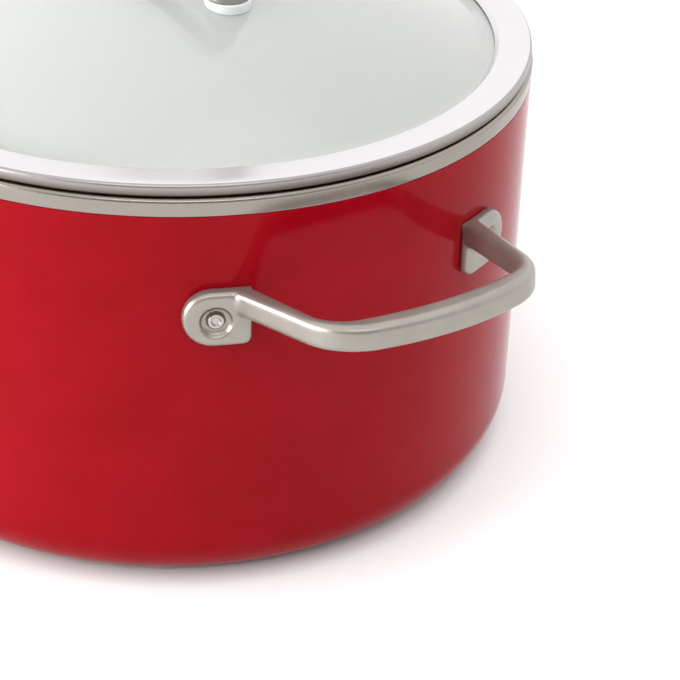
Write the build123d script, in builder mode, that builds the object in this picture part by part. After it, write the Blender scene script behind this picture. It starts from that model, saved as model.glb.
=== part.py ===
"""Stock pot: an enamelled steel pot with a stainless rim band, two riveted cast loop handles
and a glass lid held in a wide stainless ring. Millimetres, +Z up, the origin at the middle of
the base, the two side handles along X."""

from build123d import *

import os
from math import cos, radians, sin, sqrt

os.makedirs("parts", exist_ok=True)

# ---- Pot shell: deep drawn steel with enamel on both sides ----
pot_height = 142.1  # to the crest of the rim band
wall_radius_low = 123.9
wall_radius_high = 122.6
base_corner_radius = 17.7
wall = 2.0
base_relief_radius = 62.0
base_relief = 0.6

# ---- Rim band: stainless channel rolled over the raw edge of the shell ----
band_bottom = 136.3
band_inner_leg_bottom = 138.2
band_inner_radius = 118.0
band_crown_radius = 2.2
band_clearance = 0.05
neck_thickness = 1.0
neck_top = 140.8

# ---- Side handles: cast loop with a pad at each end ----
pad_angle = 23.7  # from the handle's middle line to each rivet
pad_face_radius = 127.0
pad_center_height = 103.25
pad_half_height = 9.4
pad_inner_end = 11.0
pad_outer_end = 10.2
pad_corner_radius = 2.5
pad_edge_radius = 1.9
loop_root = 118.0  # distance from the pot's axis to the loop's root
loop_root_height = 104.5
loop_tilt = 8.0
bar_height = 8.3
bar_edge_radius = 2.1
arm_outer_half_width = 46.0
arm_inner_half_width = 39.5
arm_outer_taper = 0.168
arm_inner_taper = 0.118
grip_reach = 50.9  # from the root to the grip's outer face, along the tilted loop
grip_depth = 8.6
grip_outer_bow = 97.0
grip_inner_bow = 112.0
grip_outer_corner = 21.5
grip_inner_corner = 12.5
stub = 8.0  # the loop runs this far inside the root before the wall trims it
long_edge = 10.0  # edges of the loop longer than this run along the bar and are rounded
envelope_bottom = 80.0  # the trimming shapes span these heights, well past both handle pads
envelope_top = 130.0
blank_depth = 30.0

# ---- Rivets: factory head inside the pot, clinched end in the pad's dished recess ----
rivet_height = 102.6
rivet_radius = 2.5
rivet_bore_length = 12.0  # long enough to cross the wall and the pad
rivet_head_radius = 5.5
rivet_head_thickness = 1.8
rivet_head_edge = 1.0
rivet_head_seat = 0.6  # the flat head is drawn this far into the curved wall, then trimmed to it
recess_radius = 5.4
recess_floor_radius = 4.3
recess_depth = 1.7
clinch_radius = 3.0
clinch_height = 0.9
dimple_radius = 1.85
dimple_depth = 1.3

# ---- Lid: tempered glass dome in a stainless ring ----
lid_gap = 0.3  # running gap between the ring and the rim band
ring_outer_radius = 121.9
ring_inner_radius = 109.4
ring_height = 4.3
ring_sheet = 0.6
plug_edge_radius = 0.5
plug_radius = 116.9  # the ring's turned-down part that drops into the pot's mouth
flange_lip = 1.5  # width of the roll that takes the flange down to the glass
flange_fall = 0.4
glass_radius = 115.0
glass_thickness = 4.0
glass_rim_top = 143.8
dome_rim_radius = 107.0
dome_rise = 24.0
dome_blend_radius = 16.0
seal_thickness = 0.45
seal_inner_radius = 110.4

# ---- Lid handle, its fasteners and the steam vent ----
foot_spacing = 72.0
lid_handle_height = 34.0
lid_bar_depth = 11.0
lid_bar_thickness = 7.0
lid_handle_corner = 15.0
lid_handle_bow = 2.5
lid_bar_edge_radius = 2.4
foot_radius = 7.2
foot_height = 4.0
grommet_radius = 7.6
grommet_flange = 1.2
grommet_hole_radius = 4.0
screw_radius = 2.5
screw_grip = 9.0  # length of thread inside the foot
screw_head_radius = 5.2
screw_head_height = 2.6
screw_head_edge = 1.2
washer_radius = 7.0
washer_thickness = 1.0
vent_circle = 72.0
vent_angle = 135.0
vent_bore_radius = 1.6
vent_tube_radius = 2.6
vent_flange_radius = 5.0
vent_flange = 0.8


def finish(builder, name):
    """Label a finished piece and write it."""
    builder.part.label = name
    export_step(builder.part, f"parts/{name}.step")


def wall_radius(height):
    """Outer radius of the slightly conical wall."""
    share = (height - base_corner_radius) / (band_bottom - base_corner_radius)
    return wall_radius_low + (wall_radius_high - wall_radius_low) * share


# Places of the four rivets: the axis of each runs straight out from the pot's axis.
rivet_angles = {
    "right_front": -pad_angle,
    "right_back": pad_angle,
    "left_front": 180 + pad_angle,
    "left_back": 180 - pad_angle,
}


def rivet_plane(angle, radius):
    """Plane across a rivet's axis, facing out; its X runs along the wall, its Y up."""
    out = (cos(radians(angle)), sin(radians(angle)), 0)
    along = (-sin(radians(angle)), cos(radians(angle)), 0)
    return Plane(
        origin=(radius * out[0], radius * out[1], rivet_height),
        x_dir=along,
        z_dir=out,
    )


# ---- Pot shell ----
floor_height = wall + base_relief
inner_corner_radius = base_corner_radius - wall
neck_inner_radius = wall_radius_high - wall
neck_outer_radius = neck_inner_radius + neck_thickness
neck_bottom = band_bottom - band_clearance
with BuildPart() as pot_shell:
    with BuildSketch(Plane.XZ):
        with BuildLine():
            Polyline(
                (wall_radius_low - wall - inner_corner_radius, floor_height),
                (0, floor_height),
                (0, base_relief),
                (base_relief_radius, base_relief),
                (base_relief_radius + 2 * base_relief, 0),
                (wall_radius_low - base_corner_radius, 0),
            )
            outer_turn = JernArc(
                start=(wall_radius_low - base_corner_radius, 0),
                tangent=(1, 0),
                radius=base_corner_radius,
                arc_size=90,
            )
            inner_turn = JernArc(
                start=(wall_radius_low - wall - inner_corner_radius, floor_height),
                tangent=(1, 0),
                radius=inner_corner_radius,
                arc_size=90,
            )
            Polyline(
                outer_turn @ 1,
                (wall_radius_high, neck_bottom),
                (neck_outer_radius, neck_bottom),
                (neck_outer_radius, neck_top),
                (neck_inner_radius, neck_top),
                inner_turn @ 1,
            )
        make_face()
    revolve(axis=Axis.Z)
    for angle in rivet_angles.values():
        with Locations(rivet_plane(angle, neck_inner_radius)):
            Cylinder(rivet_radius, rivet_bore_length, mode=Mode.SUBTRACT)
finish(pot_shell, "pot_shell")

# ---- Rim band ----
slot_inner_radius = neck_inner_radius - band_clearance
slot_outer_radius = neck_outer_radius + band_clearance
slot_top = neck_top + band_clearance
crown_start = pot_height - band_crown_radius
with BuildPart() as rim_band:
    with BuildSketch(Plane.XZ):
        with BuildLine():
            Line((wall_radius_high, band_bottom), (wall_radius_high, crown_start))
            outer_crown = JernArc(
                start=(wall_radius_high, crown_start),
                tangent=(0, 1),
                radius=band_crown_radius,
                arc_size=90,
            )
            inner_crown = JernArc(
                start=(band_inner_radius, crown_start),
                tangent=(0, 1),
                radius=band_crown_radius,
                arc_size=-90,
            )
            Line(outer_crown @ 1, inner_crown @ 1)
            Polyline(
                (band_inner_radius, crown_start),
                (band_inner_radius, band_inner_leg_bottom),
                (slot_inner_radius, band_inner_leg_bottom),
                (slot_inner_radius, slot_top),
                (slot_outer_radius, slot_top),
                (slot_outer_radius, band_bottom),
                (wall_radius_high, band_bottom),
            )
        make_face()
    revolve(axis=Axis.Z)
finish(rim_band, "rim_band")


# ---- Side handles ----
def pad(side):
    """Pad of a handle: a D-shaped plate bent to the wall, round end away from the grip.
    The round end points to +Y for side 1 and to -Y for side -1."""
    out = (cos(radians(pad_angle)), side * sin(radians(pad_angle)), 0)
    along = (-side * sin(radians(pad_angle)), cos(radians(pad_angle)), 0)
    blank_start = loop_root - stub
    plane = Plane(
        origin=(blank_start * out[0], blank_start * out[1], pad_center_height),
        x_dir=along,
        z_dir=out,
    )
    round_center = pad_outer_end - pad_half_height
    with BuildPart() as blank:
        with BuildSketch(plane):
            with BuildLine():
                Polyline(
                    (side * round_center, -pad_half_height),
                    (-side * pad_inner_end, -pad_half_height),
                    (-side * pad_inner_end, pad_half_height),
                    (side * round_center, pad_half_height),
                )
                ThreePointArc(
                    (side * round_center, pad_half_height),
                    (side * pad_outer_end, 0),
                    (side * round_center, -pad_half_height),
                )
            make_face()
            lower_corner = vertices().sort_by(Axis.Y)[0:2].sort_by(Axis.X)
            fillet(lower_corner[0 if side == 1 else -1], pad_corner_radius)
        extrude(amount=blank_depth)
        with BuildSketch(Plane.XZ):
            with BuildLine():
                Polyline(
                    (wall_radius(envelope_bottom) + band_clearance, envelope_bottom),
                    (pad_face_radius, envelope_bottom),
                    (pad_face_radius, envelope_top),
                    (wall_radius(envelope_top) + band_clearance, envelope_top),
                    close=True,
                )
            make_face()
        revolve(axis=Axis.Z, mode=Mode.INTERSECT)
        face_edges = blank.faces().sort_by(Axis(plane.origin, plane.z_dir))[-1].edges()
        fillet(face_edges, pad_edge_radius)
    return blank.part


tilt = radians(loop_tilt)
loop_plane = Plane(
    origin=(loop_root, 0, loop_root_height),
    x_dir=(cos(tilt), 0, sin(tilt)),
    z_dir=(-sin(tilt), 0, cos(tilt)),
)


def bow_drop(half_width, bow_radius):
    """How far a bow of this radius falls back from its crown at a half width."""
    return bow_radius - sqrt(bow_radius**2 - half_width**2)


def corner_point(arm_half_width, taper, crown, bow_radius):
    """Where an arm's straight side would meet the grip's bow."""
    reach = crown
    for _ in range(20):
        half_width = arm_half_width - taper * reach
        reach = crown - bow_drop(half_width, bow_radius)
    return reach, half_width


outer_reach, outer_half_width = corner_point(
    arm_outer_half_width, arm_outer_taper, grip_reach, grip_outer_bow
)
inner_crown_reach = grip_reach - grip_depth
inner_reach, inner_half_width = corner_point(
    arm_inner_half_width, arm_inner_taper, inner_crown_reach, grip_inner_bow
)
outer_root = arm_outer_half_width + arm_outer_taper * stub
inner_root = arm_inner_half_width + arm_inner_taper * stub
with BuildPart() as loop:
    with BuildSketch(loop_plane):
        with BuildLine():
            Polyline(
                (outer_reach, outer_half_width),
                (-stub, outer_root),
                (-stub, inner_root),
                (inner_reach, inner_half_width),
            )
            ThreePointArc(
                (inner_reach, inner_half_width),
                (inner_crown_reach, 0),
                (inner_reach, -inner_half_width),
            )
            Polyline(
                (inner_reach, -inner_half_width),
                (-stub, -inner_root),
                (-stub, -outer_root),
                (outer_reach, -outer_half_width),
            )
            ThreePointArc(
                (outer_reach, -outer_half_width),
                (grip_reach, 0),
                (outer_reach, outer_half_width),
            )
        make_face()
        fillet(
            vertices().filter_by_position(Axis.X, inner_reach - 0.01, inner_reach + 0.01),
            grip_inner_corner,
        )
        fillet(
            vertices().filter_by_position(Axis.X, outer_reach - 0.01, outer_reach + 0.01),
            grip_outer_corner,
        )
    extrude(amount=bar_height)
    flat_edges = edges().filter_by(lambda e: abs(e.tangent_at(0.5).dot(loop_plane.z_dir)) < 0.1)
    fillet(flat_edges.filter_by(lambda e: e.length > long_edge), bar_edge_radius)

with BuildPart() as wall_envelope:
    with BuildSketch(Plane.XZ):
        with BuildLine():
            Polyline(
                (0, envelope_bottom),
                (wall_radius(envelope_bottom) + band_clearance, envelope_bottom),
                (wall_radius(envelope_top) + band_clearance, envelope_top),
                (0, envelope_top),
                close=True,
            )
        make_face()
    revolve(axis=Axis.Z)

with BuildPart() as handle_right:
    add(loop.part)
    add(pad(1))
    add(pad(-1))
    add(wall_envelope.part, mode=Mode.SUBTRACT)
    for side_name in ("right_front", "right_back"):
        floor_plane = rivet_plane(rivet_angles[side_name], pad_face_radius - recess_depth)
        with Locations(floor_plane):
            Cylinder(rivet_radius, rivet_bore_length, mode=Mode.SUBTRACT)
            Cone(
                recess_floor_radius,
                recess_radius,
                recess_depth,
                align=(Align.CENTER, Align.CENTER, Align.MIN),
                mode=Mode.SUBTRACT,
            )
finish(handle_right, "handle_right")

with BuildPart() as handle_left:
    add(handle_right.part.rotate(Axis.Z, 180))
finish(handle_left, "handle_left")

# ---- Rivets ----
shank_end = pad_face_radius - recess_depth + clinch_height
inner_wall_at_rivet = wall_radius(rivet_height) - wall
for rivet_name, angle in rivet_angles.items():
    with BuildPart() as rivet:
        with BuildSketch(rivet_plane(angle, inner_wall_at_rivet - rivet_head_thickness)):
            Circle(rivet_head_radius)
        extrude(amount=rivet_head_thickness + rivet_head_seat)
        fillet(edges().sort_by(SortBy.DISTANCE)[0], rivet_head_edge)
        add(pot_shell.part, mode=Mode.SUBTRACT)
        with BuildSketch(rivet_plane(angle, inner_wall_at_rivet - rivet_head_edge)):
            Circle(rivet_radius)
        extrude(amount=shank_end - inner_wall_at_rivet + rivet_head_edge)
        with BuildSketch(rivet_plane(angle, shank_end - clinch_height)):
            Circle(clinch_radius)
        extrude(amount=clinch_height)
        with BuildSketch(rivet_plane(angle, shank_end)):
            Circle(dimple_radius)
        extrude(amount=-dimple_depth, mode=Mode.SUBTRACT)
    finish(rivet, f"rivet_{rivet_name}")

# ---- Lid glass ----
dome_radius = (dome_rim_radius**2 + dome_rise**2) / (2 * dome_rise)
dome_center = glass_rim_top + dome_rise - dome_radius
under_radius = dome_radius - glass_thickness
glass_rim_bottom = glass_rim_top - glass_thickness
under_rim_radius = sqrt(under_radius**2 - (glass_rim_bottom - dome_center) ** 2)


def dome_height(radius, sphere):
    """Height of a dome surface at a distance from the lid's axis."""
    return dome_center + sqrt(sphere**2 - radius**2)


vent_tilt = vent_circle / dome_radius
vent_rise = sqrt(1 - vent_tilt**2)
vent_direction = (
    vent_tilt * cos(radians(vent_angle)),
    vent_tilt * sin(radians(vent_angle)),
    vent_rise,
)
vent_plane = Plane(
    origin=(
        dome_radius * vent_direction[0],
        dome_radius * vent_direction[1],
        dome_center + dome_radius * vent_direction[2],
    ),
    z_dir=vent_direction,
)
foot_places = [(-foot_spacing / 2, 0), (foot_spacing / 2, 0)]
with BuildPart() as lid_glass:
    with BuildSketch(Plane.XZ):
        with BuildLine():
            RadiusArc(
                (0, dome_height(0, dome_radius)), (dome_rim_radius, glass_rim_top), dome_radius
            )
            Polyline(
                (dome_rim_radius, glass_rim_top),
                (glass_radius, glass_rim_top),
                (glass_radius, glass_rim_bottom),
                (under_rim_radius, glass_rim_bottom),
            )
            RadiusArc(
                (under_rim_radius, glass_rim_bottom),
                (0, dome_height(0, under_radius)),
                -under_radius,
            )
            Line((0, dome_height(0, under_radius)), (0, dome_height(0, dome_radius)))
        make_face()
        upper_blend = vertices().sort_by_distance((dome_rim_radius, glass_rim_top))[0]
        fillet(upper_blend, dome_blend_radius)
        under_blend = vertices().sort_by_distance((under_rim_radius, glass_rim_bottom))[0]
        fillet(under_blend, dome_blend_radius)
    revolve(axis=Axis.Z)
    with BuildSketch(Plane.XY.offset(glass_rim_top)):
        with Locations(*foot_places):
            Circle(grommet_hole_radius)
    extrude(amount=dome_rise, mode=Mode.SUBTRACT)
    with Locations(vent_plane):
        Cylinder(vent_tube_radius, 3 * glass_thickness, mode=Mode.SUBTRACT)
finish(lid_glass, "lid_glass")

# ---- Lid ring and its seal ----
bead_bottom = pot_height + lid_gap
ring_top = bead_bottom + ring_height
leaf_bottom = glass_rim_top + seal_thickness
under_leaf_top = glass_rim_bottom - seal_thickness
under_leaf_bottom = under_leaf_top - ring_sheet
plug_inner_radius = plug_radius - ring_sheet
bead_radius = ring_height / 2
with BuildPart() as lid_ring:
    with BuildSketch(Plane.XZ):
        with BuildLine():
            ThreePointArc(
                (ring_outer_radius - bead_radius, bead_bottom),
                (ring_outer_radius, bead_bottom + bead_radius),
                (ring_outer_radius - bead_radius, ring_top),
            )
            Polyline(
                (ring_outer_radius - bead_radius, ring_top),
                (ring_inner_radius + flange_lip, ring_top - flange_fall),
                (ring_inner_radius, leaf_bottom + ring_sheet),
                (ring_inner_radius, leaf_bottom),
                (plug_inner_radius, leaf_bottom),
                (plug_inner_radius, under_leaf_top),
                (seal_inner_radius, under_leaf_top),
                (seal_inner_radius, under_leaf_bottom),
                (plug_radius, under_leaf_bottom),
                (plug_radius, bead_bottom),
                (ring_outer_radius - bead_radius, bead_bottom),
            )
        make_face()
        plug_corner = vertices().sort_by_distance((plug_radius, under_leaf_bottom))[0]
        fillet(plug_corner, plug_edge_radius)
    revolve(axis=Axis.Z)
finish(lid_ring, "lid_ring")

with BuildPart() as glass_seal:
    with BuildSketch(Plane.XZ):
        with BuildLine():
            Polyline(
                (seal_inner_radius, leaf_bottom),
                (plug_inner_radius, leaf_bottom),
                (plug_inner_radius, under_leaf_top),
                (seal_inner_radius, under_leaf_top),
                (seal_inner_radius, glass_rim_bottom),
                (glass_radius, glass_rim_bottom),
                (glass_radius, glass_rim_top),
                (seal_inner_radius, glass_rim_top),
                close=True,
            )
        make_face()
    revolve(axis=Axis.Z)
    add(lid_glass.part, mode=Mode.SUBTRACT)
finish(glass_seal, "glass_seal")

# ---- Lid handle and its fasteners ----
foot_half = foot_spacing / 2
seat_top = dome_height(foot_half - grommet_radius, dome_radius) + grommet_flange
seat_bottom = dome_height(foot_half + grommet_radius, under_radius) - grommet_flange
handle_top = seat_top + lid_handle_height
leg_half = lid_bar_thickness / 2
outer_shoulder = handle_top - lid_handle_bow
inner_shoulder = outer_shoulder - lid_bar_thickness
with BuildPart() as lid_handle:
    with BuildSketch(Plane.XZ):
        with BuildLine():
            Polyline(
                (foot_half + leg_half, outer_shoulder),
                (foot_half + leg_half, seat_top),
                (foot_half - leg_half, seat_top),
                (foot_half - leg_half, inner_shoulder),
            )
            ThreePointArc(
                (foot_half - leg_half, inner_shoulder),
                (0, handle_top - lid_bar_thickness),
                (leg_half - foot_half, inner_shoulder),
            )
            Polyline(
                (leg_half - foot_half, inner_shoulder),
                (leg_half - foot_half, seat_top),
                (-foot_half - leg_half, seat_top),
                (-foot_half - leg_half, outer_shoulder),
            )
            ThreePointArc(
                (-foot_half - leg_half, outer_shoulder),
                (0, handle_top),
                (foot_half + leg_half, outer_shoulder),
            )
        make_face()
        upper_corners = vertices().sort_by(Axis.Y)
        fillet(upper_corners[-2:], lid_handle_corner)
        inner_corners = vertices().filter_by(lambda v: abs(v.Y - inner_shoulder) < 0.1)
        fillet(inner_corners, lid_handle_corner - lid_bar_thickness)
    extrude(amount=lid_bar_depth / 2, both=True)
    side_edges = edges().filter_by(lambda e: abs(abs(e.center().Y) - lid_bar_depth / 2) < 0.01)
    arch_edges = side_edges.filter_by(lambda e: e.center().Z > seat_top + 1)
    fillet(arch_edges, lid_bar_edge_radius)
    with BuildSketch(Plane.XY.offset(seat_top)):
        with Locations(*foot_places):
            Circle(foot_radius)
    extrude(amount=foot_height)
    with BuildSketch(Plane.XY.offset(seat_top)):
        with Locations(*foot_places):
            Circle(screw_radius)
    extrude(amount=screw_grip, mode=Mode.SUBTRACT)
finish(lid_handle, "lid_handle")

sides = {"left": foot_places[0], "right": foot_places[1]}
for side_name, place in sides.items():
    with BuildPart() as grommet:
        with BuildSketch(Plane.XY.offset(seat_bottom)):
            with Locations(place):
                Circle(grommet_radius)
                Circle(screw_radius, mode=Mode.SUBTRACT)
        extrude(amount=seat_top - seat_bottom)
        add(lid_glass.part, mode=Mode.SUBTRACT)
    finish(grommet, f"lid_grommet_{side_name}")

    with BuildPart() as washer:
        with BuildSketch(Plane.XY.offset(seat_bottom - washer_thickness)):
            with Locations(place):
                Circle(washer_radius)
                Circle(screw_radius, mode=Mode.SUBTRACT)
        extrude(amount=washer_thickness)
    finish(washer, f"lid_washer_{side_name}")

    head_bottom = seat_bottom - washer_thickness - screw_head_height
    with BuildPart() as screw:
        with BuildSketch(Plane.XY.offset(head_bottom)):
            with Locations(place):
                Circle(screw_head_radius)
        extrude(amount=screw_head_height)
        fillet(edges().sort_by(Axis.Z)[0], screw_head_edge)
        with BuildSketch(Plane.XY.offset(head_bottom + screw_head_height)):
            with Locations(place):
                Circle(screw_radius)
        extrude(amount=seat_top + screw_grip - head_bottom - screw_head_height)
    finish(screw, f"lid_screw_{side_name}")

# ---- Steam vent ----
with BuildPart() as steam_vent:
    with BuildSketch(vent_plane.offset(-glass_thickness - vent_flange)):
        Circle(vent_flange_radius)
    extrude(amount=glass_thickness + 2 * vent_flange)
    add(lid_glass.part, mode=Mode.SUBTRACT)
    with BuildSketch(vent_plane.offset(-glass_thickness - vent_flange)):
        Circle(vent_bore_radius)
    extrude(amount=glass_thickness + 2 * vent_flange, mode=Mode.SUBTRACT)
finish(steam_vent, "steam_vent")
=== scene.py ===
import math

import bmesh
import bpy
import numpy as np
from mathutils import Matrix, Vector


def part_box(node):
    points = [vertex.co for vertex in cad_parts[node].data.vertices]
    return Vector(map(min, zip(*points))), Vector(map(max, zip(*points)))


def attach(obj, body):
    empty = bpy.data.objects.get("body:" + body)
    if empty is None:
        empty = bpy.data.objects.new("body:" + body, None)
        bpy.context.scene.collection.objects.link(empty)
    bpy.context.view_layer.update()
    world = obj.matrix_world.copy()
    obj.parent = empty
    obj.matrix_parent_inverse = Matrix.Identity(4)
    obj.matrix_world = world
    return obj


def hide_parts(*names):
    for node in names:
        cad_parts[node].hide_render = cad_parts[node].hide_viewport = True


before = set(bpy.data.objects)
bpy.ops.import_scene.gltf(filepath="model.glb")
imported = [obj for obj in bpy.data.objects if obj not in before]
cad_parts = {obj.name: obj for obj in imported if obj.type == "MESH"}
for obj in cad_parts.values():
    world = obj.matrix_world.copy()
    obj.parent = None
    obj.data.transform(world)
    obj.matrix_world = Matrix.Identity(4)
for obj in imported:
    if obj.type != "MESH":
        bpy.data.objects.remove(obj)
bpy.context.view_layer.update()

# ---------------------------------------------------------------- sizes, in metres
MM = 0.001
_, shell_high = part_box("pot_shell")
band_low, band_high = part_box("rim_band")
_, ring_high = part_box("lid_ring")
_, glass_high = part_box("lid_glass")

SEGMENTS = 256  # round the pot's axis
SMALL_SEGMENTS = 96  # round a rivet, a screw or a hole
SHARP_ANGLE = math.radians(35)
CUT_SHARP_ANGLE = math.radians(30)

WALL_LOW = 123.9 * MM
WALL_HIGH = 122.6 * MM
WALL = 2.0 * MM
BASE_CORNER = 17.7 * MM
BASE_RELIEF = 0.6 * MM
BASE_RELIEF_RADIUS = 62.0 * MM
NECK_RADIUS = WALL_HIGH - WALL  # inside the shell's edge, which the band wraps
NECK_THICKNESS = 1.0 * MM
BAND_BOTTOM = band_low.z
BAND_GAP = 0.05 * MM  # keeps the band's skin off the enamel that it covers
BAND_INNER = 118.0 * MM
BAND_INNER_BOTTOM = 138.2 * MM
PAD_FACE = 127.0 * MM
PAD_LOW = 92.0 * MM
PAD_HIGH = 116.0 * MM
RIVET_HEIGHT = 102.6 * MM
RIVET_ANGLES = {
    "right_front": -23.7, "right_back": 23.7, "left_front": 203.7, "left_back": 156.3,
}
RECESS_RADIUS = 5.4 * MM
JUNCTION_BACK = 0.6 * MM  # the belt that pad_junction picks starts this far inside PAD_FACE
JUNCTION_REACH = 9 * MM  # and ends this far outside it
RECESS_MARGIN = 0.8 * MM
SHANK_HOLE = 2.5 * MM

RING_TOP = ring_high.z
RING_BEAD = 4.3 * MM
BEAD_BOTTOM = RING_TOP - RING_BEAD
RING_OUTER = ring_high.x
RING_INNER = 109.4 * MM
FLANGE_OUTER = 119.0 * MM  # the flange turns into the bead here
FLANGE_LIP = 1.5 * MM
FLANGE_FALL = 0.4 * MM
PLUG_RADIUS = 116.9 * MM
SHEET = 0.6 * MM
GLASS_EDGE_TOP = 143.8 * MM
GLASS_THICKNESS = 4.0 * MM
GLASS_RADIUS = glass_high.x
SEAL = 0.45 * MM
SEAL_INNER = 110.4 * MM
DOME_RIM = 107.0 * MM
DOME_RISE = 24.0 * MM
DOME_RADIUS = (DOME_RIM**2 + DOME_RISE**2) / (2 * DOME_RISE)
DOME_CENTER = GLASS_EDGE_TOP + DOME_RISE - DOME_RADIUS
UNDER_SPHERE = DOME_RADIUS - GLASS_THICKNESS
GLASS_BOTTOM = GLASS_EDGE_TOP - GLASS_THICKNESS
UNDER_RIM = math.sqrt(UNDER_SPHERE**2 - (GLASS_BOTTOM - DOME_CENTER) ** 2)
DOME_BEND = 16 * MM  # radius of the bend between the dome and the flat edge
DOME_STOP = 6 * MM  # how far short of that bend the dome's own line ends
DOME_STEPS = 60
FOOT_PLACES = {"left": -36.0 * MM, "right": 36.0 * MM}
FOOT_HOLE = 4.0 * MM
VENT_CIRCLE = 72.0 * MM
VENT_ANGLE = math.radians(135)
VENT_TUBE = 2.6 * MM
VENT_BORE = 1.6 * MM
VENT_FLANGE = 5.0 * MM
VENT_BOTTOM = -4.8 * MM
VENT_CLAMP = -4.05 * MM
VENT_TOP = 0.8 * MM


# ---------------------------------------------------------------- mesh tools
ARC_SHARE = 0.49  # the most of an edge that one corner's arc may take
ON_AXIS = 1e-7  # a point nearer the axis than this is one vertex, not a ring of them
MELT = 0.5  # how far toward its neighbours' middle a smoothing pass takes a vertex
HOLLOW_STEP = 0.6  # the same for a hollow, along the vertex's normal only


def rounded(points, steps=6):
    """Line through (radius, height, corner radius) points, each corner made an arc."""
    result = []
    count = len(points)
    for i, (x, y, corner) in enumerate(points):
        here = Vector((x, y))
        if corner <= 0:
            result.append(here)
            continue
        before = Vector(points[i - 1][:2]) - here
        after = Vector(points[(i + 1) % count][:2]) - here
        half_turn = before.angle(after) / 2
        reach = corner / math.tan(half_turn)
        reach = min(reach, ARC_SHARE * before.length, ARC_SHARE * after.length)
        start = here + before.normalized() * reach
        end = here + after.normalized() * reach
        radius = reach * math.tan(half_turn)
        center = here + (before.normalized() + after.normalized()).normalized() * (
            radius / math.sin(half_turn)
        )
        first = start - center
        last = end - center
        turn = first.angle_signed(last)
        for k in range(steps + 1):
            angle = turn * k / steps
            turned = Matrix.Rotation(-angle, 2) @ first
            result.append(center + turned)
    return result


def dome_line(sphere, center, radius_from, radius_to, steps):
    """Points on a dome surface between two distances from its axis."""
    points = []
    for k in range(steps + 1):
        r = radius_from + (radius_to - radius_from) * k / steps
        points.append((r, center + math.sqrt(sphere**2 - r**2), 0))
    return points


def new_object(name, mesh, body):
    """Object in the scene that rides on one of the two bodies."""
    piece = bpy.data.objects.new(name, mesh)
    bpy.context.scene.collection.objects.link(piece)
    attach(piece, body)
    return piece


def lathe(name, body, outline, closed=True, place=None, segments=SEGMENTS):
    """Turned piece: an outline of (radius, height) about an axis, placed by a matrix."""
    bm = bmesh.new()
    rings = []
    for x, y in outline:
        if x < ON_AXIS:
            rings.append([bm.verts.new((0, 0, y))])
            continue
        ring = []
        for s in range(segments):
            angle = 2 * math.pi * s / segments
            ring.append(bm.verts.new((x * math.cos(angle), x * math.sin(angle), y)))
        rings.append(ring)
    pairs = list(zip(rings, rings[1:]))
    if closed:
        pairs.append((rings[-1], rings[0]))
    for low, high in pairs:
        for s in range(segments):
            t = (s + 1) % segments
            corners = [
                low[s % len(low)], low[t % len(low)], high[t % len(high)], high[s % len(high)],
            ]
            bm.faces.new(list(dict.fromkeys(corners)))  # a triangle at a ring of one point
    bmesh.ops.recalc_face_normals(bm, faces=bm.faces)
    mesh = bpy.data.meshes.new(name)
    bm.to_mesh(mesh)
    bm.free()
    if place is not None:
        mesh.transform(place)
    mesh.shade_smooth()
    mesh.set_sharp_from_angle(angle=SHARP_ANGLE)
    return new_object(name, mesh, body)


def cast_copy(node, name, body, voxel, smoothing):
    """Copy of a CAD node with its sharp meets melted together, as on a casting."""
    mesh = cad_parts[node].data.copy()
    mesh.name = name
    mesh.materials.clear()
    piece = new_object(name, mesh, body)
    remesh = piece.modifiers.new("remesh", "REMESH")
    remesh.mode = "VOXEL"
    remesh.voxel_size = voxel
    smooth = piece.modifiers.new("smooth", "SMOOTH")
    smooth.factor = MELT
    smooth.iterations = smoothing
    apply_modifiers(piece)
    piece.data.shade_smooth()
    return piece


def round_hollows(piece, wanted, passes):
    """Fill the hollow meets among the wanted vertices, as the fillets of a casting pattern do."""
    mesh = piece.data
    spots = np.empty(len(mesh.vertices) * 3)
    mesh.vertices.foreach_get("co", spots)
    spots = spots.reshape(-1, 3)
    links = np.empty(len(mesh.edges) * 2, dtype=np.int32)
    mesh.edges.foreach_get("vertices", links)
    links = links.reshape(-1, 2)
    normals = np.empty(len(mesh.vertices) * 3)
    mesh.vertices.foreach_get("normal", normals)
    normals = normals.reshape(-1, 3)
    chosen = wanted(spots)
    degree = np.bincount(links.ravel(), minlength=len(spots))
    for _ in range(passes):
        total = np.zeros_like(spots)
        for axis in range(3):
            total[:, axis] += np.bincount(links[:, 0], spots[links[:, 1], axis], len(spots))
            total[:, axis] += np.bincount(links[:, 1], spots[links[:, 0], axis], len(spots))
        pull = total / degree[:, None] - spots
        outward = np.einsum("ij,ij->i", pull, normals)
        move = chosen & (outward > 0)
        spots[move] += HOLLOW_STEP * outward[move, None] * normals[move]
    mesh.vertices.foreach_set("co", spots.ravel())
    mesh.update()


def cut_holes(piece, cutters):
    """Cut pieces out of another one and throw the cutters away."""
    for cutter in cutters:
        hole = piece.modifiers.new("hole", "BOOLEAN")
        hole.operation = "DIFFERENCE"
        hole.solver = "EXACT"
        hole.object = cutter
    bpy.context.view_layer.update()
    apply_modifiers(piece)
    for cutter in cutters:
        mesh = cutter.data
        bpy.data.objects.remove(cutter)
        bpy.data.meshes.remove(mesh)
    piece.data.shade_smooth()
    piece.data.set_sharp_from_angle(angle=CUT_SHARP_ANGLE)


def plug(name, place, radius, length):
    """Plain cylinder centred on a place, to cut a hole with; it never stays in the scene."""
    outline = [(0, -length / 2), (radius, -length / 2), (radius, length / 2), (0, length / 2)]
    return lathe(name, "pot", outline, closed=False, place=place, segments=SMALL_SEGMENTS)


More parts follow.
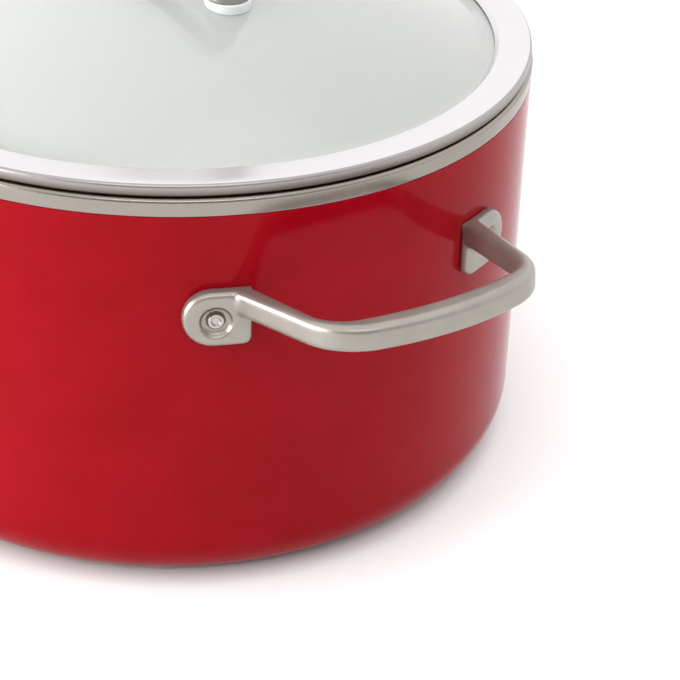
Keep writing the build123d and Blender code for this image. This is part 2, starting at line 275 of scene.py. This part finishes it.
def rivet_place(degrees, radius):
    """Placement whose Z runs straight out from the pot's axis at the rivet's height."""
    angle = math.radians(degrees)
    spot = Vector((radius * math.cos(angle), radius * math.sin(angle), RIVET_HEIGHT))
    turned = Matrix.Rotation(angle, 4, "Z") @ Matrix.Rotation(math.pi / 2, 4, "Y")
    return Matrix.Translation(spot) @ turned


def apply_modifiers(piece):
    """Bake a piece's modifiers into its mesh."""
    depsgraph = bpy.context.evaluated_depsgraph_get()
    evaluated = piece.evaluated_get(depsgraph)
    mesh = bpy.data.meshes.new_from_object(evaluated)
    piece.modifiers.clear()
    old = piece.data
    piece.data = mesh
    bpy.data.meshes.remove(old)
    mesh.name = piece.name


# ---------------------------------------------------------------- materials
def material(name, **values):
    """New material; the values are set on the Principled shader's own sockets."""
    mat = bpy.data.materials.new(name)
    mat.use_nodes = True
    shader = mat.node_tree.nodes["Principled BSDF"]
    for key, value in values.items():
        shader.inputs[key.replace("_", " ")].default_value = value
    return mat, mat.node_tree, shader


def node(tree, kind, **settings):
    """New shader node; each setting is a socket's value where it has one, or else a property."""
    made = tree.nodes.new(kind)
    for key, value in settings.items():
        socket = key.replace("_", " ")
        if socket in made.inputs:
            made.inputs[socket].default_value = value
        else:
            setattr(made, key, value)
    return made


def two_tones(tree, dark, light, low, high):
    """Colour ramp between two tones, for a texture's values from low to high."""
    ramp = node(tree, "ShaderNodeValToRGB")
    for stop, position, tone in zip(ramp.color_ramp.elements, (low, high), (dark, light)):
        stop.position = position
        stop.color = (*tone, 1)
    return ramp


def enamel(name, dark, light):
    """Gloss enamel: a faint mottle in the colour and the slow ripple of a fired coat."""
    mat, tree, shader = material(name, Roughness=0.12, Specular_IOR_Level=0.08)
    place = node(tree, "ShaderNodeTexCoord")
    mottle = node(tree, "ShaderNodeTexNoise", Scale=45.0, Detail=5.0)
    ramp = two_tones(tree, dark, light, 0.35, 0.65)
    ripple = node(tree, "ShaderNodeTexNoise", Scale=260.0, Detail=2.0)
    bump = node(tree, "ShaderNodeBump", Strength=0.05, Distance=0.0002)
    tree.links.new(place.outputs["Object"], mottle.inputs["Vector"])
    tree.links.new(place.outputs["Object"], ripple.inputs["Vector"])
    tree.links.new(mottle.outputs["Fac"], ramp.inputs["Fac"])
    tree.links.new(ramp.outputs["Color"], shader.inputs["Base Color"])
    tree.links.new(ripple.outputs["Fac"], bump.inputs["Height"])
    tree.links.new(bump.outputs["Normal"], shader.inputs["Normal"])
    return mat


def turned_steel(name, color, roughness, spread):
    """Spun or rolled stainless: fine lines that run round the pot's axis."""
    mat, tree, shader = material(name, Metallic=1.0, Base_Color=(*color, 1))
    place = node(tree, "ShaderNodeTexCoord")
    split = node(tree, "ShaderNodeSeparateXYZ")
    radius = node(tree, "ShaderNodeVectorMath", operation="LENGTH")
    flat = node(tree, "ShaderNodeCombineXYZ")
    join = node(tree, "ShaderNodeCombineXYZ")
    tree.links.new(place.outputs["Object"], split.inputs["Vector"])
    tree.links.new(split.outputs["X"], flat.inputs["X"])
    tree.links.new(split.outputs["Y"], flat.inputs["Y"])
    tree.links.new(flat.outputs["Vector"], radius.inputs[0])
    tree.links.new(radius.outputs["Value"], join.inputs["X"])
    tree.links.new(split.outputs["Z"], join.inputs["Y"])
    lines = node(tree, "ShaderNodeTexNoise", Scale=2600.0, Detail=3.0)
    tree.links.new(join.outputs["Vector"], lines.inputs["Vector"])
    cloud = node(tree, "ShaderNodeTexNoise", Scale=60.0, Detail=4.0)
    tree.links.new(place.outputs["Object"], cloud.inputs["Vector"])
    both = node(tree, "ShaderNodeMath", operation="MULTIPLY")
    tree.links.new(lines.outputs["Fac"], both.inputs[0])
    tree.links.new(cloud.outputs["Fac"], both.inputs[1])
    rough = node(
        tree, "ShaderNodeMapRange",
        From_Min=0.1, From_Max=0.45, To_Min=roughness - spread, To_Max=roughness + spread,
    )
    tree.links.new(both.outputs["Value"], rough.inputs["Value"])
    tree.links.new(rough.outputs["Result"], shader.inputs["Roughness"])
    bump = node(tree, "ShaderNodeBump", Strength=0.05, Distance=0.00003)
    tree.links.new(lines.outputs["Fac"], bump.inputs["Height"])
    tree.links.new(bump.outputs["Normal"], shader.inputs["Normal"])
    return mat


# The Mix node repeats its socket names for each data type, so its colour sockets go by number.
MIX_FACTOR, MIX_COLOR_A, MIX_COLOR_B, MIX_COLOR_RESULT = 0, 6, 7, 2


def paint_shade_below(mat, tone, low, high):
    """Fade a material's colour into a dark tone between two heights: painted shade."""
    tree = mat.node_tree
    shader = tree.nodes["Principled BSDF"]
    place = node(tree, "ShaderNodeTexCoord")
    split = node(tree, "ShaderNodeSeparateXYZ")
    share = node(tree, "ShaderNodeMapRange", From_Min=low, From_Max=high)
    blend = node(tree, "ShaderNodeMix", data_type="RGBA")
    tree.links.new(place.outputs["Object"], split.inputs["Vector"])
    tree.links.new(split.outputs["Z"], share.inputs["Value"])
    tree.links.new(share.outputs["Result"], blend.inputs[MIX_FACTOR])
    blend.inputs[MIX_COLOR_A].default_value = tone
    blend.inputs[MIX_COLOR_B].default_value = shader.inputs["Base Color"].default_value
    tree.links.new(blend.outputs[MIX_COLOR_RESULT], shader.inputs["Base Color"])


CAST_SPREAD = 0.06  # how far the cast pieces' roughness wanders to either side


def cast_steel(name, dark, light, roughness, metallic=1.0):
    """Blasted cast stainless: fine even grain, cloudy tone and roughness."""
    mat, tree, shader = material(name, Metallic=metallic)
    place = node(tree, "ShaderNodeTexCoord")
    grain = node(tree, "ShaderNodeTexNoise", Scale=2400.0, Detail=3.0)
    cloud = node(tree, "ShaderNodeTexNoise", Scale=90.0, Detail=5.0)
    ramp = two_tones(tree, dark, light, 0.3, 0.7)
    rough = node(
        tree, "ShaderNodeMapRange", To_Min=roughness - CAST_SPREAD, To_Max=roughness + CAST_SPREAD
    )
    bump = node(tree, "ShaderNodeBump", Strength=0.25, Distance=0.00004)
    for texture in (grain, cloud):
        tree.links.new(place.outputs["Object"], texture.inputs["Vector"])
    tree.links.new(cloud.outputs["Fac"], ramp.inputs["Fac"])
    tree.links.new(ramp.outputs["Color"], shader.inputs["Base Color"])
    tree.links.new(cloud.outputs["Fac"], rough.inputs["Value"])
    tree.links.new(rough.outputs["Result"], shader.inputs["Roughness"])
    tree.links.new(grain.outputs["Fac"], bump.inputs["Height"])
    tree.links.new(bump.outputs["Normal"], shader.inputs["Normal"])
    return mat


def clear_glass(name):
    """Tempered glass with a faint green cast and a trace of handling haze."""
    mat, tree, shader = material(
        name, IOR=1.5, Transmission_Weight=0.64, Base_Color=(0.665, 0.685, 0.655, 1)
    )
    place = node(tree, "ShaderNodeTexCoord")
    haze = node(tree, "ShaderNodeTexNoise", Scale=30.0, Detail=6.0)
    rough = node(tree, "ShaderNodeMapRange", To_Min=0.05, To_Max=0.12)
    tree.links.new(place.outputs["Object"], haze.inputs["Vector"])
    tree.links.new(haze.outputs["Fac"], rough.inputs["Value"])
    tree.links.new(rough.outputs["Result"], shader.inputs["Roughness"])
    return mat


def silicone(name):
    """Matt translucent silicone with a fine moulded grain."""
    mat, tree, shader = material(name, Base_Color=(0.62, 0.62, 0.6, 1), Subsurface_Weight=0.2)
    place = node(tree, "ShaderNodeTexCoord")
    grain = node(tree, "ShaderNodeTexNoise", Scale=1500.0, Detail=2.0)
    rough = node(tree, "ShaderNodeMapRange", To_Min=0.45, To_Max=0.6)
    tree.links.new(place.outputs["Object"], grain.inputs["Vector"])
    tree.links.new(grain.outputs["Fac"], rough.inputs["Value"])
    tree.links.new(rough.outputs["Result"], shader.inputs["Roughness"])
    return mat


red_enamel = enamel("red_enamel", (0.222, 0.0007, 0.0042), (0.246, 0.0012, 0.006))
inner_enamel = enamel("inner_enamel", (0.86, 0.86, 0.82), (0.90, 0.90, 0.86))
band_steel = turned_steel("band_steel", (0.29, 0.265, 0.235), 0.27, 0.04)
# The bead gets a darker copy of the ring's steel: painted shade where the bead faces the dark
# front of the studio.
shaded_bead_steel = turned_steel("shaded_bead_steel", (0.36, 0.34, 0.33), 0.34, 0.05)
# Painted shade: the bead darkens toward its bottom edge, standing in for the shadow in the gap
# between the lid ring and the rim band.
GAP_SHADE_LOW = BEAD_BOTTOM + 0.4 * MM
GAP_SHADE_HIGH = BEAD_BOTTOM + 3.4 * MM
paint_shade_below(shaded_bead_steel, (0.10, 0.075, 0.05, 1), GAP_SHADE_LOW, GAP_SHADE_HIGH)
ring_steel = turned_steel("ring_steel", (0.66, 0.65, 0.645), 0.32, 0.04)
handle_steel = cast_steel("handle_steel", (0.27, 0.255, 0.226), (0.315, 0.298, 0.264), 0.33, 0.75)
rivet_steel = cast_steel("rivet_steel", (0.38, 0.365, 0.335), (0.44, 0.42, 0.39), 0.3)
# Near-black steel for the faces of the groove round each rivet's clinch: painted shade in the
# recess.
groove_shade_steel = cast_steel("groove_shade_steel", (0.10, 0.085, 0.065), (0.15, 0.13, 0.10), 0.45)
screw_steel = cast_steel("screw_steel", (0.55, 0.55, 0.54), (0.62, 0.62, 0.61), 0.25)
lid_glass = clear_glass("lid_glass_clear")
seal_silicone = silicone("seal_silicone")


def dress(piece, mat):
    """Give a piece its material."""
    piece.data.materials.clear()
    piece.data.materials.append(mat)


def second_material(piece, mat, strips, segments=SEGMENTS):
    """Give some strips of a turned piece, counted along its outline, a second material."""
    piece.data.materials.append(mat)
    for face in piece.data.polygons:
        if face.index // segments in strips:
            face.material_index = 1


# ---------------------------------------------------------------- camera
TURN = math.radians(55.05)  # from the picture's depth direction to the handle line
PITCH = math.radians(31.81)
ROLL = math.radians(2.737)
TARGET_ACROSS = 61.84 * MM
TARGET_HEIGHT = 21.6 * MM
CAMERA_DISTANCE = 758.5 * MM
FOCAL_LENGTH = 108.21
SENSOR_WIDTH = 36

turn = Matrix.Rotation(TURN, 3, "Z")
forward = turn @ Vector((0, math.cos(PITCH), -math.sin(PITCH)))
level_right = turn @ Vector((1, 0, 0))
level_up = turn @ Vector((0, math.sin(PITCH), math.cos(PITCH)))
right = math.cos(ROLL) * level_right + math.sin(ROLL) * level_up
up = -math.sin(ROLL) * level_right + math.cos(ROLL) * level_up
target = turn @ Vector((TARGET_ACROSS, 0, TARGET_HEIGHT))
camera_data = bpy.data.cameras.new("camera")
camera_data.lens = FOCAL_LENGTH
camera_data.sensor_width = SENSOR_WIDTH
camera = bpy.data.objects.new("camera", camera_data)
rotation = Matrix((right, up, -forward)).transposed()
camera.matrix_world = Matrix.Translation(target - CAMERA_DISTANCE * forward) @ rotation.to_4x4()
bpy.context.scene.collection.objects.link(camera)
bpy.context.scene.camera = camera
bpy.context.scene.view_settings.view_transform = "Standard"

# ---------------------------------------------------------------- pot shell
shell_outline = rounded(
    [
        (0, BASE_RELIEF, 0),
        (BASE_RELIEF_RADIUS, BASE_RELIEF, 2 * MM),
        (BASE_RELIEF_RADIUS + 2 * BASE_RELIEF, 0, 2 * MM),
        (WALL_LOW, 0, BASE_CORNER),
        (WALL_HIGH, BAND_BOTTOM, 0.15 * MM),
        (NECK_RADIUS + NECK_THICKNESS, BAND_BOTTOM, 0),
        (NECK_RADIUS + NECK_THICKNESS, shell_high.z, 0.2 * MM),
        (NECK_RADIUS, shell_high.z, 0.2 * MM),
        (WALL_LOW - WALL, WALL + BASE_RELIEF, BASE_CORNER - WALL),
        (0, WALL + BASE_RELIEF, 0),
    ],
    steps=16,
)
pot_shell = lathe("pot_shell_enamel", "pot", shell_outline, closed=False)
dress(pot_shell, red_enamel)
# The inner enamel starts at the innermost of the outline's highest points.
mouth = max(range(len(shell_outline)), key=lambda i: (shell_outline[i][1], -shell_outline[i][0]))
second_material(pot_shell, inner_enamel, range(mouth, len(shell_outline)))
shank_holes = []
for name, degrees in RIVET_ANGLES.items():
    place = rivet_place(degrees, NECK_RADIUS)
    shank_holes.append(plug(f"cutter_{name}", place, SHANK_HOLE, 4 * WALL))
cut_holes(pot_shell, shank_holes)
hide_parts("pot_shell")

# ---------------------------------------------------------------- rim band
band_outline = rounded(
    [
        (WALL_HIGH, BAND_BOTTOM, 0.9 * MM),
        (WALL_HIGH, band_high.z, 1.5 * MM),
        (BAND_INNER, band_high.z, 2.2 * MM),
        (BAND_INNER, BAND_INNER_BOTTOM, 0.3 * MM),
        (NECK_RADIUS - BAND_GAP, BAND_INNER_BOTTOM, 0.1 * MM),
        (NECK_RADIUS - BAND_GAP, shell_high.z + BAND_GAP, 0),
        (NECK_RADIUS + NECK_THICKNESS + BAND_GAP, shell_high.z + BAND_GAP, 0),
        (NECK_RADIUS + NECK_THICKNESS + BAND_GAP, BAND_BOTTOM, 0.1 * MM),
    ],
    steps=10,
)
rim_band = lathe("rim_band_rolled", "pot", band_outline)
dress(rim_band, band_steel)
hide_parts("rim_band")

# ---------------------------------------------------------------- handles and rivets
def pad_junction(spots):
    """The belt where the arms leave the pads, clear of the rivet recesses."""
    from_axis = np.hypot(spots[:, 0], spots[:, 1])
    chosen = (from_axis > PAD_FACE - JUNCTION_BACK) & (from_axis < PAD_FACE + JUNCTION_REACH)
    chosen &= (spots[:, 2] > PAD_LOW) & (spots[:, 2] < PAD_HIGH)
    for degrees in RIVET_ANGLES.values():
        turn_out = math.radians(degrees)
        along = spots[:, 1] * math.cos(turn_out) - spots[:, 0] * math.sin(turn_out)
        outward = spots[:, 0] * math.cos(turn_out) + spots[:, 1] * math.sin(turn_out)
        near = np.hypot(along, spots[:, 2] - RIVET_HEIGHT) < RECESS_RADIUS + RECESS_MARGIN
        chosen &= ~(near & (outward > 0))
    return chosen


HANDLE_VOXEL, HANDLE_SMOOTHING, HOLLOW_PASSES = 0.45 * MM, 9, 220
for side in ("right", "left"):
    node_name = f"handle_{side}"
    handle = cast_copy(node_name, f"{node_name}_cast", "pot", HANDLE_VOXEL, HANDLE_SMOOTHING)
    round_hollows(handle, pad_junction, HOLLOW_PASSES)
    dress(handle, handle_steel)
    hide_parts(node_name)

CLINCH_SIDE = range(16, 22)  # strips of the outline that face the groove round the clinch, where the dark steel is painted shade
SHANK = 2.45 * MM
HEAD = 5.3 * MM
# A rivet's outline runs out from the pot's axis, so its heights are distances from that axis.
HEAD_INSIDE = 119.17 * MM
HEAD_SEAT = 120.83 * MM
CLINCH_SEAT = 125.3 * MM
CLINCH_WAIST = 125.6 * MM
CLINCH_TOP = 126.2 * MM
rivet_outline = rounded(
    [
        (0, HEAD_INSIDE, 0),
        (HEAD, HEAD_INSIDE, 1.0 * MM),
        (HEAD, HEAD_SEAT, 0.1 * MM),
        (SHANK, HEAD_SEAT, 0),
        (SHANK, CLINCH_SEAT, 0),
        (3.0 * MM, CLINCH_SEAT, 0),
        (2.9 * MM, 125.5 * MM, 0),
        (2.55 * MM, CLINCH_WAIST, 0),
        (SHANK, CLINCH_TOP, 0.45 * MM),
        (1.5 * MM, CLINCH_TOP, 0.35 * MM),
        (1.2 * MM, 125.65 * MM, 0.3 * MM),
        (0, CLINCH_WAIST, 0),
    ],
    steps=6,
)
for name, degrees in RIVET_ANGLES.items():
    place = rivet_place(degrees, 0)
    rivet = lathe(f"rivet_{name}_clinched", "pot", rivet_outline, False, place, SMALL_SEGMENTS)
    dress(rivet, rivet_steel)
    second_material(rivet, groove_shade_steel, CLINCH_SIDE, SMALL_SEGMENTS)
    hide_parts(f"rivet_{name}")

# ---------------------------------------------------------------- lid glass
glass_outline = dome_line(DOME_RADIUS, DOME_CENTER, 0, DOME_RIM - DOME_STOP, DOME_STEPS)
glass_outline += [
    (DOME_RIM, GLASS_EDGE_TOP, DOME_BEND),
    (GLASS_RADIUS, GLASS_EDGE_TOP, 1.6 * MM),
    (GLASS_RADIUS, GLASS_BOTTOM, 1.6 * MM),
    (UNDER_RIM, GLASS_BOTTOM, DOME_BEND),
]
glass_outline += dome_line(UNDER_SPHERE, DOME_CENTER, UNDER_RIM - DOME_STOP, 0, DOME_STEPS)
glass_pane = lathe("lid_glass_pane", "lid", rounded(glass_outline, steps=12), closed=False)
glass_holes = []
for side, x in FOOT_PLACES.items():
    spot = Matrix.Translation((x, 0, GLASS_EDGE_TOP + 0.5 * DOME_RISE))
    glass_holes.append(plug(f"cutter_{side}", spot, FOOT_HOLE, DOME_RISE * 1.2))
lean = VENT_CIRCLE / DOME_RADIUS
vent_out = Vector(
    (lean * math.cos(VENT_ANGLE), lean * math.sin(VENT_ANGLE), math.sqrt(1 - lean**2))
)
vent_place = Matrix.Translation(vent_out * DOME_RADIUS + Vector((0, 0, DOME_CENTER))) @ (
    vent_out.to_track_quat("Z", "Y").to_matrix().to_4x4()
)
glass_holes.append(plug("cutter_vent", vent_place, VENT_TUBE, 3 * GLASS_THICKNESS))
cut_holes(glass_pane, glass_holes)
dress(glass_pane, lid_glass)
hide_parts("lid_glass")

# ---------------------------------------------------------------- lid ring and seal
leaf_bottom = GLASS_EDGE_TOP + SEAL
under_leaf_top = GLASS_BOTTOM - SEAL
under_leaf_bottom = under_leaf_top - SHEET
BEAD_STRIPS = range(18)  # strips of the outline that form the brushed bead
ring_outline = rounded(
    [
        (RING_OUTER, BEAD_BOTTOM, 1.1 * MM),
        (RING_OUTER, RING_TOP, 1.5 * MM),
        (FLANGE_OUTER, RING_TOP, 1.0 * MM),
        (RING_INNER + FLANGE_LIP, RING_TOP - FLANGE_FALL, 0.8 * MM),
        (RING_INNER, leaf_bottom + 0.55 * SHEET, 0.2 * MM),
        (RING_INNER, leaf_bottom, 0.12 * MM),
        (PLUG_RADIUS - SHEET, leaf_bottom, 0),
        (PLUG_RADIUS - SHEET, under_leaf_top, 0),
        (SEAL_INNER, under_leaf_top, 0.15 * MM),
        (SEAL_INNER, under_leaf_bottom, 0.15 * MM),
        (PLUG_RADIUS, under_leaf_bottom, 0.7 * MM),
        (PLUG_RADIUS, BEAD_BOTTOM, 0.2 * MM),
    ],
    steps=10,
)
lid_ring = lathe("lid_ring_spun", "lid", ring_outline)
dress(lid_ring, ring_steel)
# The bead strips take the darker steel, which is painted shade.
second_material(lid_ring, shaded_bead_steel, BEAD_STRIPS)
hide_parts("lid_ring")

seal_outline = rounded(
    [
        (SEAL_INNER, leaf_bottom, 0.1 * MM),
        (SEAL_INNER, GLASS_EDGE_TOP, 0.1 * MM),
        (GLASS_RADIUS, GLASS_EDGE_TOP, 0),
        (GLASS_RADIUS, GLASS_BOTTOM, 0),
        (SEAL_INNER, GLASS_BOTTOM, 0.1 * MM),
        (SEAL_INNER, under_leaf_top, 0.1 * MM),
        (PLUG_RADIUS - SHEET, under_leaf_top, 0),
        (PLUG_RADIUS - SHEET, leaf_bottom, 0),
    ],
    steps=4,
)
glass_seal = lathe("glass_seal_moulded", "lid", seal_outline)
dress(glass_seal, seal_silicone)
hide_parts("glass_seal")

# ---------------------------------------------------------------- lid handle and fasteners
LID_HANDLE_VOXEL, LID_HANDLE_SMOOTHING = 0.35 * MM, 5
GROMMET_VOXEL, GROMMET_SMOOTHING = 0.2 * MM, 2
SCREW_HOLE = 2.5 * MM
WASHER_RADIUS = 7.0 * MM
SCREW_HEAD = 5.2 * MM
SCREW_HEAD_HEIGHT = 2.6 * MM
SOCKET_DEPTH = 1.4 * MM

lid_handle = cast_copy(
    "lid_handle", "lid_handle_cast", "lid", LID_HANDLE_VOXEL, LID_HANDLE_SMOOTHING
)
dress(lid_handle, handle_steel)
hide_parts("lid_handle")

for side, x in FOOT_PLACES.items():
    node_name = f"lid_grommet_{side}"
    grommet = cast_copy(node_name, f"{node_name}_moulded", "lid", GROMMET_VOXEL, GROMMET_SMOOTHING)
    dress(grommet, seal_silicone)
    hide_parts(node_name)

    place = Matrix.Translation((x, 0, 0))
    low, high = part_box(f"lid_washer_{side}")
    washer_outline = rounded(
        [
            (SCREW_HOLE, low.z, 0.15 * MM),
            (WASHER_RADIUS, low.z, 0.3 * MM),
            (WASHER_RADIUS, high.z, 0.15 * MM),
            (SCREW_HOLE, high.z, 0.15 * MM),
        ],
        steps=5,
    )
    washer = lathe(
        f"lid_washer_{side}_pressed", "lid", washer_outline, True, place, SMALL_SEGMENTS
    )
    dress(washer, screw_steel)
    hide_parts(f"lid_washer_{side}")

    low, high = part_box(f"lid_screw_{side}")
    head_top = low.z + SCREW_HEAD_HEIGHT
    screw_outline = rounded(
        [
            (0, low.z + SOCKET_DEPTH, 0),
            (1.5 * MM, low.z + SOCKET_DEPTH, 0),
            (1.6 * MM, low.z, 0.2 * MM),
            (SCREW_HEAD, low.z, 1.6 * MM),
            (SCREW_HEAD, head_top, 0.2 * MM),
            (SCREW_HOLE, head_top, 0.1 * MM),
            (SCREW_HOLE, high.z, 0.3 * MM),
            (0, high.z, 0),
        ],
        steps=6,
    )
    screw = lathe(
        f"lid_screw_{side}_turned", "lid", screw_outline, False, place, SMALL_SEGMENTS
    )
    dress(screw, screw_steel)
    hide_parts(f"lid_screw_{side}")

# Heights in this outline are measured from the glass's top surface, along the vent's own axis.
vent_outline = rounded(
    [
        (VENT_BORE, VENT_BOTTOM, 0.3 * MM),
        (VENT_FLANGE, VENT_BOTTOM, 0.3 * MM),
        (VENT_FLANGE, VENT_CLAMP, 0.1 * MM),
        (VENT_TUBE, VENT_CLAMP, 0),
        (VENT_TUBE, 0.05 * MM, 0),
        (VENT_FLANGE, 0, 0.1 * MM),
        (VENT_FLANGE, VENT_TOP, 0.35 * MM),
        (VENT_BORE, VENT_TOP, 0.4 * MM),
    ],
    steps=5,
)
steam_vent = lathe("steam_vent_turned", "lid", vent_outline, True, vent_place, SMALL_SEGMENTS)
dress(steam_vent, screw_steel)
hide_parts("steam_vent")

# ---------------------------------------------------------------- floor and light
FLOOR_HALF = 6.0
SIGNS = ((-1, -1), (1, -1), (1, 1), (-1, 1))
floor_mesh = bpy.data.meshes.new("floor")
floor_mesh.from_pydata([(x * FLOOR_HALF, y * FLOOR_HALF, 0) for x, y in SIGNS], [], [(0, 1, 2, 3)])
floor = bpy.data.objects.new("floor", floor_mesh)
bpy.context.scene.collection.objects.link(floor)
floor_mat, _, _ = material("floor_paper", Base_Color=(0.66, 0.66, 0.655, 1), Roughness=0.9)
floor_mesh.materials.append(floor_mat)

# The studio is bright overhead and behind the pot, and falls off toward the viewer.
world = bpy.data.worlds.new("studio")
bpy.context.scene.world = world
world.use_nodes = True
sky = world.node_tree
backdrop = sky.nodes["Background"]
backdrop.inputs["Color"].default_value = (0.99, 0.975, 1.0, 1)
direction = node(sky, "ShaderNodeTexCoord")
bright_side = node(sky, "ShaderNodeVectorMath", operation="DOT_PRODUCT")
bright_side.inputs[1].default_value = turn @ Vector((0, 0.8, 0.6))
fall_off = node(
    sky, "ShaderNodeMapRange", interpolation_type="SMOOTHSTEP",
    From_Min=-0.8, From_Max=0.3, To_Min=0.28, To_Max=1.4,
)
sky.links.new(direction.outputs["Generated"], bright_side.inputs[0])
sky.links.new(bright_side.outputs["Value"], fall_off.inputs["Value"])
sky.links.new(fall_off.outputs["Result"], backdrop.inputs["Strength"])


LIGHT_AIM = Vector((0, 0, 0.08))  # about the middle of the pot's wall


def softbox(name, across, depth, height, size, power):
    """Area light placed in the picture's own directions: across, depth, height."""
    data = bpy.data.lights.new(name, "AREA")
    data.shape = "RECTANGLE"
    data.size, data.size_y = size
    data.energy = power
    light = bpy.data.objects.new(name, data)
    spot = turn @ Vector((across, depth, height))
    light.location = spot
    light.rotation_euler = (LIGHT_AIM - spot).to_track_quat("-Z", "Y").to_euler()
    bpy.context.scene.collection.objects.link(light)
    return light


softbox("key_left", -2.1, -0.45, 0.5, (2.4, 0.9), 98)
overhead = softbox("overhead", 0.3, -0.3, 2.1, (2.4, 1.8), 34)
overhead.visible_glossy = False  # keeps its square outline out of the glass dome
softbox("edge_strip", 0.2, -1.6, 1.6, (1.8, 0.25), 8)
